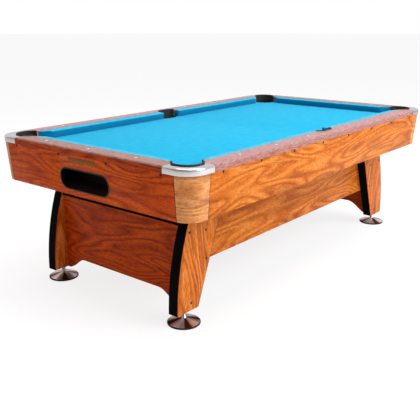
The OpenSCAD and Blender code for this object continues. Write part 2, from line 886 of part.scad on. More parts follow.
foot_ring_far_right();
foot_ring_far_left();
foot_stem_near_right();
foot_stem_near_left();
foot_stem_far_right();
foot_stem_far_left();
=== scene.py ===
"""Looks for a home pool table: laminated cabinet, cloth bed, plated caps and adjustable feet.

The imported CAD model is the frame. Pieces built here stand for the CAD parts whose surfaces
need more detail, and every other CAD part keeps its shape and gets a worked finish.
"""
import logging
import math
from dataclasses import dataclass
from enum import Enum
from typing import Any, Sequence

import bmesh
import bpy
from mathutils import Matrix, Vector


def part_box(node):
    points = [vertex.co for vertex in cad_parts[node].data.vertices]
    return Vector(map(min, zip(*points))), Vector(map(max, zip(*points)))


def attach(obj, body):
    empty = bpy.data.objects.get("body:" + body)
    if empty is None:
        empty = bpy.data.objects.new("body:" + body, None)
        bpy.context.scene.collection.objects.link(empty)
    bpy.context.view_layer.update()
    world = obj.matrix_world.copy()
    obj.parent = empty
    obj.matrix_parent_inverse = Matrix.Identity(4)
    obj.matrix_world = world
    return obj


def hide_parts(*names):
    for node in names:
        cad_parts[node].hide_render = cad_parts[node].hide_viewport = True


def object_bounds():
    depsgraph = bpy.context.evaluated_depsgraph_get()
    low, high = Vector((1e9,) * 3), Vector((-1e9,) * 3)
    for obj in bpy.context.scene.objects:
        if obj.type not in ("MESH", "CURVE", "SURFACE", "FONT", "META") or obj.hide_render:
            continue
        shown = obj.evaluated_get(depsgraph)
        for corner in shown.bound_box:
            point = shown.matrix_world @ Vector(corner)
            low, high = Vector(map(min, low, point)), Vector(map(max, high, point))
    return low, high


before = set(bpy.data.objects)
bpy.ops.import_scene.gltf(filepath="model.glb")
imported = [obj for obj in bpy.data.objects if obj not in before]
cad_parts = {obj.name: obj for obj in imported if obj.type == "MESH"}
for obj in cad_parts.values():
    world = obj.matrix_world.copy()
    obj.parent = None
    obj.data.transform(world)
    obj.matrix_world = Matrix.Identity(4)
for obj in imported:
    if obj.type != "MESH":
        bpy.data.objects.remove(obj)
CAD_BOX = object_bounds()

LOG = logging.getLogger("pool_table")
SEAM_HALF_WIDTH = 0.0016
EASE_STEPS = 2
CUSHION_SPANS = 26
CORNER_STEPS = 12
SCREW_SIDES = 24
LEG_SCREWS_BELOW = 0.55
SIDE_SCREWS_BEYOND = 0.61
Point = tuple[float, float, float]
CORNER_NAMES = ("near_right", "near_left", "far_right", "far_left")
CUSHION_NAMES = ("right_near", "right_far", "left_near", "left_far", "near_end", "far_end")


# ---------------------------------------------------------------- colour and nodes


def linear(code: str) -> tuple[float, float, float, float]:
    """Turn an sRGB hex colour into linear RGBA.

    Args:
        code: Colour as "#rrggbb".

    Returns:
        Linear red, green, blue and an alpha of 1.
    """
    parts = [int(code[i:i + 2], 16) / 255 for i in (1, 3, 5)]
    lin = [c / 12.92 if c <= 0.04045 else ((c + 0.055) / 1.055) ** 2.4 for c in parts]
    return (lin[0], lin[1], lin[2], 1.0)


def add(tree: bpy.types.NodeTree, kind: str, inputs: dict[Any, Any] | None = None,
        stops: Sequence[tuple[float, str]] = (), **settings: Any) -> bpy.types.Node:
    """Add a shader node with its settings, values and links.

    Args:
        tree: Node tree that gets the node.
        kind: Node type, without the "ShaderNode" prefix.
        inputs: Input name or index to a value, or to the socket that feeds it.
        stops: Positions and sRGB hex colours of a colour ramp, in order.
        settings: Attributes of the node.

    Returns:
        The new node.
    """
    node = tree.nodes.new("ShaderNode" + kind)
    for name, value in settings.items():
        setattr(node, name, value)
    for key, value in (inputs or {}).items():
        if isinstance(value, bpy.types.NodeSocket):
            tree.links.new(value, node.inputs[key])
        else:
            node.inputs[key].default_value = value
    if stops:
        elements = node.color_ramp.elements
        while len(elements) < len(stops):
            elements.new(0.5)
        for element, (place, code) in zip(elements, stops):
            element.position = place
            element.color = linear(code)
    return node


class Grain(Enum):
    """Which way a printed wood grain runs, as how much finer the figure is along X, Y and Z."""

    LEVEL = (0.8, 0.8, 4.6)
    UPRIGHT = (5.0, 5.0, 0.7)
    LENGTHWISE = (0.5, 6.0, 6.0)
    CROSSWISE = (6.0, 0.5, 6.0)


class Axis(Enum):
    """One axis of the table."""

    X = "X"
    Y = "Y"


@dataclass(frozen=True)
class Finish:
    """A surface finish. Subclasses draw their own pattern."""

    name: str

    def draw(self, tree: bpy.types.NodeTree, shader: bpy.types.Node) -> None:
        """Link the finish's pattern to the shader."""
        raise NotImplementedError

    def material(self) -> bpy.types.Material:
        """Return the finish's material, made on first use."""
        found = bpy.data.materials.get(self.name)
        if found:
            return found
        made = bpy.data.materials.new(self.name)
        made.use_nodes = True
        self.draw(made.node_tree, made.node_tree.nodes["Principled BSDF"])
        return made


@dataclass(frozen=True)
class WoodFoil(Finish):
    """Wood-print melamine foil on fibreboard: a satin top layer over a printed flat-sawn figure.

    The figure is drawn as growth rings: contours of a stretched noise, pale after each ring
    and darkening towards the next, with softer bands along them. Pores are printed dashes
    about 0.5 mm wide, drawn wider so that they show. Upward faces can get a painted glare, and
    downward faces are painted near black, partly a dark raw edge and partly painted shade.
    """

    grain: Grain = Grain.LEVEL
    light: str = "#ffb45c"
    body: str = "#f89432"
    dark: str = "#b8500c"
    # Dark joint colour for the seams, also laid on downward faces as painted shade.
    edge: str = "#1c0b04"
    shift: Point = (0.0, 0.0, 0.0)
    rings: float = 12.0
    # Painted glare: a pinkish reflected-light colour laid over faces that look up.
    painted_glare: str = ""
    painted_glare_light: str = "#e3cdcb"
    painted_glare_from: float = 0.15
    painted_glare_to: float = 0.75
    seams: tuple[tuple[Axis, float], ...] = ()
    roughness: float = 0.38
    coat: float = 0.03
    gloss: float = 0.1

    def draw(self, tree: bpy.types.NodeTree, shader: bpy.types.Node) -> None:
        """Draw the printed figure, the painted glare on upper faces, the seams and the painted
        shade on lower faces.
        """
        place = add(tree, "TexCoord").outputs["Object"]
        bend = add(tree, "TexNoise", {"Vector": place, "Scale": 1.7, "Detail": 1.0})
        across = tuple(0.10 if s > 1 else 0.0 for s in self.grain.value)
        bent = add(tree, "VectorMath", {0: bend.outputs["Color"], 1: across, 2: place},
                   operation="MULTIPLY_ADD").outputs["Vector"]
        moved = add(tree, "Mapping", {"Vector": bent, "Location": self.shift,
                                      "Scale": self.grain.value}).outputs["Vector"]
        sway = add(tree, "TexNoise", {"Vector": moved, "Scale": 1.9, "Detail": 1.0,
                                      "Roughness": 0.3, "Distortion": 0.1}).outputs["Fac"]
        ripple = add(tree, "TexNoise", {"Vector": moved, "Scale": 5.0, "Detail": 3.0,
                                        "Roughness": 0.5}).outputs["Fac"]
        swing = add(tree, "Math", {0: ripple, 1: 0.8}, operation="MULTIPLY").outputs[0]
        growth = add(tree, "Math", {0: sway, 1: self.rings, 2: swing},
                     operation="MULTIPLY_ADD").outputs[0]
        ring = add(tree, "Math", {0: growth}, operation="FRACT").outputs[0]
        figure = add(tree, "ValToRGB", {"Fac": ring}, stops=[
            (0.0, self.body), (0.22, self.light), (0.46, self.body), (0.76, self.dark),
            (1.0, self.body)]).outputs["Color"]
        clouds = add(tree, "TexNoise", {"Vector": moved, "Scale": 2.6, "Detail": 3.0,
                                        "Roughness": 0.6, "Distortion": 0.5}).outputs["Fac"]
        fade = add(tree, "MapRange", {"Value": clouds, "From Min": 0.36, "From Max": 0.62,
                                      "To Min": 0.3, "To Max": 0.72}).outputs["Result"]
        colour = add(tree, "Mix", {"Factor": fade, "A": linear(self.body), "B": figure},
                     data_type="RGBA").outputs["Result"]
        bands = add(tree, "ValToRGB", {"Fac": ripple}, stops=[
            (0.36, "#a8785c"), (0.49, "#f0e0d4"), (0.60, "#ffffff")]).outputs["Color"]
        colour = add(tree, "Mix", {"Factor": 0.4, "A": colour, "B": bands}, data_type="RGBA",
                     blend_type="MULTIPLY").outputs["Result"]
        fine = tuple(4.0 if s > 1 else 5.0 for s in self.grain.value)
        fibres = add(tree, "TexNoise", {
            "Vector": add(tree, "Mapping", {"Vector": moved, "Scale": fine}).outputs["Vector"],
            "Scale": 12.0, "Detail": 3.0, "Roughness": 0.75}).outputs["Fac"]
        streaks = add(tree, "ValToRGB", {"Fac": fibres}, stops=[
            (0.34, "#b87c62"), (0.48, "#f0dcd0"), (0.60, "#ffffff")]).outputs["Color"]
        colour = add(tree, "Mix", {"Factor": 0.75, "A": colour, "B": streaks}, data_type="RGBA",
                     blend_type="MULTIPLY").outputs["Result"]
        normal = add(tree, "SeparateXYZ", {"Vector": add(tree, "NewGeometry").outputs["Normal"]})
        # Painted glare: faces that look up take the painted glare colour in place of the printed
        # wood.
        if self.painted_glare:
            painted_light_mask = add(tree, "MapRange", {"Value": normal.outputs["Z"], "From Min": self.painted_glare_from,
                                          "From Max": self.painted_glare_to}).outputs["Result"]
            painted_glare_colour = add(tree, "ValToRGB", {"Fac": fibres}, stops=[
                (0.34, self.painted_glare), (0.62, self.painted_glare_light)]).outputs["Color"]
            colour = add(tree, "Mix", {"Factor": painted_light_mask, "A": colour, "B": painted_glare_colour},
                         data_type="RGBA").outputs["Result"]
        # Painted shade, partly a dark raw edge: faces that look downward turn to the near-black
        # joint colour.
        painted_underside_shade = add(tree, "MapRange", {"Value": normal.outputs["Z"], "From Min": -0.8,
                                       "From Max": -0.6, "To Min": 1.0, "To Max": 0.0})
        colour = add(tree, "Mix", {"Factor": painted_underside_shade.outputs["Result"], "A": colour,
                                   "B": linear(self.edge)}, data_type="RGBA").outputs["Result"]
        spot = add(tree, "SeparateXYZ", {"Vector": place})
        for axis, where in self.seams:
            span = add(tree, "Math", {0: spot.outputs[axis.value]}, operation="ABSOLUTE").outputs[0]
            line = add(tree, "Math", {0: span, 1: where, 2: SEAM_HALF_WIDTH},
                       operation="COMPARE").outputs[0]
            colour = add(tree, "Mix", {"Factor": line, "A": colour, "B": linear(self.edge)},
                         data_type="RGBA").outputs["Result"]
        tree.links.new(colour, shader.inputs["Base Color"])
        shader.inputs["Roughness"].default_value = self.roughness
        shader.inputs["Coat Weight"].default_value = self.coat
        shader.inputs["Coat Roughness"].default_value = 0.16
        shader.inputs["Specular IOR Level"].default_value = self.gloss
        bump = add(tree, "Bump", {"Height": fibres, "Strength": 0.12, "Distance": 0.0006})
        tree.links.new(bump.outputs["Normal"], shader.inputs["Normal"])


@dataclass(frozen=True)
class BilliardCloth(Finish):
    """Wool and nylon billiard cloth: napped, matt and slightly mottled.

    Threads lie 0.5 mm apart, drawn as a 3 mm mottle and a fine nap so that they show. Cloth
    that faces sideways or downward, as over a cushion's nose, is painted darker: painted shade.
    """

    colour: str = "#12aad4"
    worn: str = "#1db7e0"
    # Painted shade: a darker cloth colour for faces that look sideways or downward.
    painted_shade: str = ""

    def draw(self, tree: bpy.types.NodeTree, shader: bpy.types.Node) -> None:
        """Draw the nap's mottle, the painted shade on sideways and downward cloth, and the weave's
        bump.
        """
        place = add(tree, "TexCoord").outputs["Object"]
        mottle = add(tree, "TexNoise", {"Vector": place, "Scale": 22.0, "Detail": 8.0,
                                        "Roughness": 0.75}).outputs["Fac"]
        colour = add(tree, "ValToRGB", {"Fac": mottle}, stops=[
            (0.36, self.colour), (0.64, self.worn)]).outputs["Color"]
        # Painted shade: cloth whose normal leans away from straight up fades to the darker colour.
        if self.painted_shade:
            turn = add(tree, "SeparateXYZ", {"Vector": add(tree, "NewGeometry").outputs["Normal"]})
            painted_light_mask = add(tree, "MapRange", {"Value": turn.outputs["Z"], "From Min": 0.15,
                                          "From Max": 0.8}).outputs["Result"]
            colour = add(tree, "Mix", {"Factor": painted_light_mask, "A": linear(self.painted_shade), "B": colour},
                         data_type="RGBA").outputs["Result"]
        tree.links.new(colour, shader.inputs["Base Color"])
        weave = add(tree, "TexNoise", {"Vector": place, "Scale": 420.0, "Detail": 2.0})
        bump = add(tree, "Bump", {"Height": weave.outputs["Fac"], "Strength": 0.3,
                                  "Distance": 0.0008})
        tree.links.new(bump.outputs["Normal"], shader.inputs["Normal"])
        shader.inputs["Roughness"].default_value = 0.92
        shader.inputs["Specular IOR Level"].default_value = 0.08
        shader.inputs["Sheen Weight"].default_value = 0.05
        shader.inputs["Sheen Roughness"].default_value = 0.5


@dataclass(frozen=True)
class Plating(Finish):
    """Bright plating on die-cast zinc: mirror-like, with a faint polish haze.

    Faces that look towards the ball-return end fade to a painted reflection of brown wood.
    """

    colour: str = "#efecea"
    roughness: float = 0.12
    # Painted reflection: a colour for faces that look towards the ball-return end.
    sky_and_painted_reflection_tint: str = ""

    def draw(self, tree: bpy.types.NodeTree, shader: bpy.types.Node) -> None:
        """Set the metal and draw the haze left by polishing."""
        shader.inputs["Metallic"].default_value = 1.0
        shader.inputs["Base Color"].default_value = linear(self.colour)
        place = add(tree, "TexCoord").outputs["Object"]
        # Painted reflection: faces that look along -X fade to the colour of wood seen in the
        # plating.
        if self.sky_and_painted_reflection_tint:
            normal = add(tree, "NewGeometry").outputs["Normal"]
            facing = add(tree, "SeparateXYZ", {"Vector": normal})
            painted_reflection_mask = add(tree, "MapRange", {"Value": facing.outputs["X"], "From Min": -0.75,
                                          "From Max": -0.2, "To Min": 1.0, "To Max": 0.0})
            colour = add(tree, "Mix", {"Factor": painted_reflection_mask.outputs["Result"], "A": linear(self.colour),
                                       "B": linear(self.sky_and_painted_reflection_tint)}, data_type="RGBA")
            tree.links.new(colour.outputs["Result"], shader.inputs["Base Color"])
        haze = add(tree, "TexNoise", {"Vector": place, "Scale": 30.0, "Detail": 4.0}).outputs["Fac"]
        rough = add(tree, "MapRange", {"Value": haze, "To Min": self.roughness * 0.6,
                                       "To Max": self.roughness * 1.5}).outputs["Result"]
        tree.links.new(rough, shader.inputs["Roughness"])


@dataclass(frozen=True)
class MouldedPlastic(Finish):
    """Injection-moulded or extruded plastic: an even colour with a fine moulded texture."""

    colour: str = "#0b0b0c"
    roughness: float = 0.42
    gloss: float = 0.4
    texture_mm: float = 1.2

    def draw(self, tree: bpy.types.NodeTree, shader: bpy.types.Node) -> None:
        """Set the colour and draw the moulded texture."""
        shader.inputs["Base Color"].default_value = linear(self.colour)
        shader.inputs["Specular IOR Level"].default_value = self.gloss
        place = add(tree, "TexCoord").outputs["Object"]
        spots = add(tree, "TexNoise", {"Vector": place, "Scale": 1000 / self.texture_mm,
                                       "Detail": 2.0})
        rough = add(tree, "MapRange", {"Value": spots.outputs["Fac"],
                                       "To Min": self.roughness * 0.8,
                                       "To Max": self.roughness * 1.25})
        tree.links.new(rough.outputs["Result"], shader.inputs["Roughness"])
        bump = add(tree, "Bump", {"Height": spots.outputs["Fac"], "Strength": 0.15,
                                  "Distance": 0.0003})
        tree.links.new(bump.outputs["Normal"], shader.inputs["Normal"])


@dataclass(frozen=True)
class SpunMetal(Finish):
    """Spun plating with fine rings about an upright axis; its copper colour is a painted reflection
    of brown wood, and its light and dark rays are painted highlight and painted reflection.
    """

    # light and dark are painted highlight and painted reflection; body's copper is a painted
    # reflection of wood.
    light: str = "#fff4f0"
    body: str = "#eab4a4"
    dark: str = "#45170f"
    centre: tuple[float, float] = (0.0, 0.0)

    def draw(self, tree: bpy.types.NodeTree, shader: bpy.types.Node) -> None:
        """Draw the light and dark rays, painted highlight and painted reflection, and set the
        metal.
        """
        place = add(tree, "TexCoord").outputs["Object"]
        moved = add(tree, "Mapping", {"Vector": place, "Location": (-self.centre[0],
                                                                    -self.centre[1], 0.0)})
        split = add(tree, "SeparateXYZ", {"Vector": moved.outputs["Vector"]})
        angle = add(tree, "Math", {0: split.outputs["Y"], 1: split.outputs["X"]},
                    operation="ARCTAN2")
        turned = add(tree, "Math", {0: angle.outputs[0], 1: 4.0, 2: 0.7}, operation="MULTIPLY_ADD")
        rays = add(tree, "Math", {0: turned.outputs[0]}, operation="SINE")
        unit = add(tree, "MapRange", {"Value": rays.outputs[0], "From Min": -1.0}).outputs["Result"]
        # Painted highlight and painted reflection: light and dark rays round the foot's axis.
        colour = add(tree, "ValToRGB", {"Fac": unit}, stops=[
            (0.12, self.dark), (0.42, self.body), (0.72, self.body), (0.92, self.light)])
        tree.links.new(colour.outputs["Color"], shader.inputs["Base Color"])
        rings = add(tree, "TexWave", {"Vector": moved.outputs["Vector"], "Scale": 110.0},
                    wave_type="RINGS", rings_direction="Z")
        bump = add(tree, "Bump", {"Height": rings.outputs["Fac"], "Strength": 0.1,
                                  "Distance": 0.0002})
        tree.links.new(bump.outputs["Normal"], shader.inputs["Normal"])
        shader.inputs["Metallic"].default_value = 0.7
        shader.inputs["Roughness"].default_value = 0.3


# ---------------------------------------------------------------- mesh helpers


def piece(name: str, verts: Sequence[Any], faces: Sequence[Sequence[int]], finish: Finish,
          body: str = "table", sharp_deg: float = 35.0) -> bpy.types.Object:
    """Make a mesh piece that rides on a body.

    Args:
        name: Name of the piece.
        verts: Points in metres.
        faces: Corner numbers of each face.
        finish: Finish of the whole piece.
        body: Body that the piece rides on.
        sharp_deg: Edges that turn more than this stay sharp.

    Returns:
        The new object.
    """
    mesh = bpy.data.meshes.new(name)
    mesh.from_pydata([tuple(v) for v in verts], [], [list(f) for f in faces])
    return settle(name, mesh, finish, body, sharp_deg)


def settle(name: str, mesh: bpy.types.Mesh, finish: Finish, body: str,
           sharp_deg: float = 35.0) -> bpy.types.Object:
    """Clean a mesh, link it as an object with its finish and let it ride on a body."""
    shape = bmesh.new()
    shape.from_mesh(mesh)
    bmesh.ops.remove_doubles(shape, verts=shape.verts, dist=1e-6)
    bmesh.ops.recalc_face_normals(shape, faces=shape.faces)
    for face in shape.faces:
        face.smooth = True
    shape.to_mesh(mesh)
    shape.free()
    mesh.set_sharp_from_angle(angle=math.radians(sharp_deg))
    mesh.materials.clear()
    mesh.materials.append(finish.material())
    made = bpy.data.objects.new(name, mesh)
    bpy.context.scene.collection.objects.link(made)
    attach(made, body)
    LOG.info("%s on %s", name, body)
    return made


def eased(name: str, node: str, finish: Finish, width: float) -> bpy.types.Object:
    """Stand in for a CAD node with a copy whose sharp edges are rounded off.

    Args:
        name: Name of the new piece.
        node: CAD node that it stands for.
        finish: Finish of the piece.
        width: Width of the rounding in metres.

    Returns:
        The new object.
    """
    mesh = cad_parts[node].data.copy()
    shape = bmesh.new()
    shape.from_mesh(mesh)
    bmesh.ops.remove_doubles(shape, verts=shape.verts, dist=1e-6)
    bmesh.ops.dissolve_limit(shape, angle_limit=math.radians(0.5), verts=shape.verts,
                             edges=shape.edges)
    sharp = [e for e in shape.edges
             if len(e.link_faces) == 2 and e.calc_face_angle(0) > math.radians(40)]
    bmesh.ops.bevel(shape, geom=sharp, offset=width, segments=EASE_STEPS, affect="EDGES",
                    clamp_overlap=True, profile=0.6)
    bmesh.ops.triangulate(shape, faces=[f for f in shape.faces if len(f.verts) > 4])
    shape.to_mesh(mesh)
    shape.free()
    made = settle(name, mesh, finish, "table")
    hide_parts(node)
    return made


def swept(stations: Sequence[Sequence[Any]],
          closed_path: bool) -> tuple[list[Any], list[tuple[int, ...]]]:
    """Join equal rings of points into a skin.

    Args:
        stations: Rings of points, each a closed section.
        closed_path: Whether the last ring joins the first. Open ends get a face.

    Returns:
        Points and faces.
    """
    count = len(stations[0])
    verts = [p for ring in stations for p in ring]
    spans = len(stations) if closed_path else len(stations) - 1
    faces: list[tuple[int, ...]] = []
    for i in range(spans):
        a, b = i * count, (i + 1) % len(stations) * count
        faces += [(a + k, a + (k + 1) % count, b + (k + 1) % count, b + k) for k in range(count)]
    if not closed_path:
        faces += [tuple(range(count)), tuple(range((len(stations) - 1) * count, len(verts)))]
    return verts, faces


def dress(finish: Finish, *nodes: str) -> None:
    """Give CAD nodes a finish.

    Args:
        finish: Finish to use.
        nodes: Names of the CAD nodes.
    """
    for name in nodes:
        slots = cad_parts[name].data.materials
        slots.clear()
        slots.append(finish.material())
    LOG.info("%s on %s", finish.name, ", ".join(nodes))


def middle(node: str) -> Vector:
    """Return the middle of a CAD node's box."""
    low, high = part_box(node)
    return (Vector(low) + Vector(high)) / 2


# ---------------------------------------------------------------- studio


@dataclass
class Studio:
    """Pale floor, soft light and the camera."""

    eye: Point = (-2.8704, -2.1369, 1.3097)
    turn_deg: float = 50.83
    dip_deg: float = 16.90
    focal_mm: float = 53.77

    def build(self) -> None:
        """Make the floor, the lights, the sky and the camera."""
        scene = bpy.context.scene
        scene.view_settings.view_transform = "Standard"
        self.floor()
        self.sky()
        self.lamp("key_light", (1.2, -4.4, 3.4), 3.4, 165)
        self.lamp("top_light", (0.0, -0.2, 4.6), 4.2, 105)
        camera = bpy.data.cameras.new("camera")
        camera.lens = self.focal_mm
        camera.sensor_width = 36.0
        camera.clip_end = 200
        seat = bpy.data.objects.new("camera", camera)
        seat.location = self.eye
        seat.rotation_euler = (math.radians(90 - self.dip_deg), 0, math.radians(-self.turn_deg))
        scene.collection.objects.link(seat)
        scene.camera = seat

    def floor(self) -> None:
        """Lay a near-white floor that the table shades only faintly."""
        bpy.ops.mesh.primitive_circle_add(vertices=96, radius=60, fill_type="NGON",
                                          location=(0, 0, -0.0008))
        floor = bpy.context.object
        floor.name = "studio_floor"
        paper = bpy.data.materials.new("studio_paper")
        paper.use_nodes = True
        tree = paper.node_tree
        tree.nodes.clear()
        seen = add(tree, "LightPath").outputs["Is Camera Ray"]
        matt = add(tree, "BsdfDiffuse", {"Color": linear("#dededd")}).outputs[0]
        glow = add(tree, "Emission", {"Color": linear("#ffffff"), "Strength": 0.80}).outputs[0]
        dim = add(tree, "BsdfDiffuse", {"Color": linear("#8d8d8d")}).outputs[0]
        lit = add(tree, "AddShader", {0: dim, 1: glow}).outputs[0]
        both = add(tree, "MixShader", {0: seen, 1: matt, 2: lit}).outputs[0]
        add(tree, "OutputMaterial", {"Surface": both})
        floor.data.materials.append(paper)

    def sky(self) -> None:
        """Light the room evenly, dimmer from beyond the ball-return end."""
        world = bpy.data.worlds.new("studio_sky")
        world.use_nodes = True
        bpy.context.scene.world = world
        tree = world.node_tree
        tree.nodes.clear()
        seen = add(tree, "LightPath").outputs["Is Camera Ray"]
        ways = add(tree, "SeparateXYZ", {"Vector": add(tree, "TexCoord").outputs["Generated"]})
        dim = add(tree, "MapRange", {"Value": ways.outputs["X"], "From Min": -0.75,
                                     "From Max": -0.1, "To Min": 0.0, "To Max": 1.0})
        sky_and_painted_reflection_tint = add(tree, "Mix", {"Factor": dim.outputs["Result"], "A": linear("#b0887c"),
                                 "B": linear("#f3f6fb")}, data_type="RGBA").outputs["Result"]
        soft = add(tree, "Background", {"Color": sky_and_painted_reflection_tint, "Strength": 0.72})
        back = add(tree, "Background", {"Color": linear("#ffffff"), "Strength": 1.0})
        both = add(tree, "MixShader", {0: seen, 1: soft.outputs[0], 2: back.outputs[0]})
        add(tree, "OutputWorld", {"Surface": both.outputs[0]})

    def lamp(self, name: str, place: Point, side: float, watts: float) -> None:
        """Hang a square soft light that looks at the table."""
        light = bpy.data.lights.new(name, "AREA")
        light.shape = "SQUARE"
        light.size = side
        light.energy = watts
        hung = bpy.data.objects.new(name, light)
        hung.location = place
        aim = Vector((0, 0, 0.5)) - Vector(place)
        hung.rotation_euler = aim.to_track_quat("-Z", "Y").to_euler()
        bpy.context.scene.collection.objects.link(hung)


# ---------------------------------------------------------------- the table


@dataclass
class Bed:
    """Cloth on the bed and the cushions."""

    flat: tuple[float, float] = (1.219, 2.235)
    cloth_edge: float = 0.0006
    back: float = 0.085
    nose: float = 0.127
    end_turn: float = 0.0016

    def build(self) -> None:
        """Lay the bed cloth and fit the six cushions."""
        cloth = eased("bed_cloth_sheet", "bed_cloth", BilliardCloth("bed_billiard_cloth"),
                      self.cloth_edge)
        # The cushions' darker colour on sideways and downward faces is painted shade.
        finish = BilliardCloth("cushion_billiard_cloth", colour="#2aaed2", worn="#3fc4e6",
                               painted_shade="#0c86ad")
        for name in CUSHION_NAMES:
            self.cushion(name, finish)

    def section(self) -> list[tuple[float, float]]:
        """Return a cushion's section as distance from the table's edge and height."""
        return [(self.back, 0.7262), (0.1176, 0.7262), (0.1192, 0.7305), (0.1236, 0.7425),
                (0.1258, 0.7485), (0.1268, 0.7525), (0.1270, 0.7560), (0.1268, 0.7590),
                (0.1258, 0.7610), (0.1238, 0.7623), (0.1180, 0.7631), (0.1050, 0.7637),
                (0.0900, 0.7639), (0.0870, 0.7636), (0.0860, 0.7628), (self.back, 0.7620)]

    def cushion(self, name: str, finish: Finish) -> bpy.types.Object:
        """Build a cloth-covered rubber cushion with a rounded nose and slanted ends."""
        node = "cushion_" + name
        low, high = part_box(node)
        across = name.endswith("end")
        run, side = (1, 0) if across else (0, 1)
        sign = 1.0 if (low[side] + high[side]) > 0 else -1.0
        outer = (CAD_BOX[1][side]) * sign
        start, stop = low[run], high[run]
        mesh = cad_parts[node].data
        tips = [v.co[run] for v in mesh.vertices
                if abs(abs(v.co[side] - outer) - self.nose) < 0.0015]
        nose_start, nose_stop = min(tips), max(tips)
        rings = []
        count = CUSHION_SPANS
        places = [0.0, 0.0, *(i / count for i in range(1, count)), 1.0, 1.0]
        section = self.section()
        core = Vector((sum(p[0] for p in section) / len(section),
                       sum(p[1] for p in section) / len(section)))
        for number, t in enumerate(places):
            pinch = 0.0018 if number in (0, len(places) - 1) else 0.0
            inset = {1: self.end_turn, len(places) - 2: -self.end_turn}.get(number, 0.0)
            ring = []
            for d, z in section:
                share = (d - self.back) / (self.nose - self.back)
                a = start + (nose_start - start) * share
                b = stop + (nose_stop - stop) * share
                pull = (core - Vector((d, z))).normalized() * pinch
                if d <= self.back + 1e-6:
                    pull.x = 0.0
                point = [0.0, 0.0, z + pull.y]
                point[run] = a + (b - a) * t + inset
                point[side] = outer - sign * (d + pull.x)
                ring.append(Vector(point))
            rings.append(ring)
        verts, faces = swept(rings, closed_path=False)
        made = piece(node + "_cloth", verts, faces, finish, sharp_deg=50)
        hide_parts(node)
        return made


@dataclass
class Rails:
    """Rails, caps, sights and pockets."""

    # Painted glare: a mauve colour on faces that look up, and on the long rails on nearly every
    # face. The end rails' deeper orange is painted shade.
    long_rail: WoodFoil = WoodFoil("long_rail_foil_painted_glare", grain=Grain.LENGTHWISE, painted_glare="#935f5b",
                                   painted_glare_light="#cf9f9d", painted_glare_from=-0.9, painted_glare_to=0.35,
                                   light="#e8a478", body="#d98b58", dark="#8f4a2a",
                                   shift=(0.6, 0.1, 0.0), roughness=0.3)
    end_rail: WoodFoil = WoodFoil("end_rail_foil_painted_shade_and_glare", grain=Grain.CROSSWISE, painted_glare="#7e4c3c",
                                  painted_glare_light="#bd9087", painted_glare_from=0.05, painted_glare_to=0.7,
                                  light="#e0661c", body="#cc520c", dark="#6e2404",
                                  shift=(0.1, 2.4, 0.0), roughness=0.3)

    def build(self) -> None:
        """Dress the rails and what stands on them."""
        dress(self.long_rail, "rail_right", "rail_left")
        dress(self.end_rail, "rail_near_end", "rail_far_end")
        dress(MouldedPlastic("white_inlay", colour="#ffffff", roughness=0.2), "rail_sights")
        # The caps' pinkish colour on faces towards the ball-return end is a painted reflection.
        for corner in CORNER_NAMES:
            eased("plated_cap_" + corner, "corner_cap_" + corner,
                  Plating("polished_cap", colour="#fffdfc", sky_and_painted_reflection_tint="#e2b4a6"), 0.0009)
        dress(MouldedPlastic("pocket_plastic", colour="#070708", roughness=0.5, texture_mm=2.0),
              *("corner_pocket_" + c for c in CORNER_NAMES), "side_pocket_right",
              "side_pocket_left")


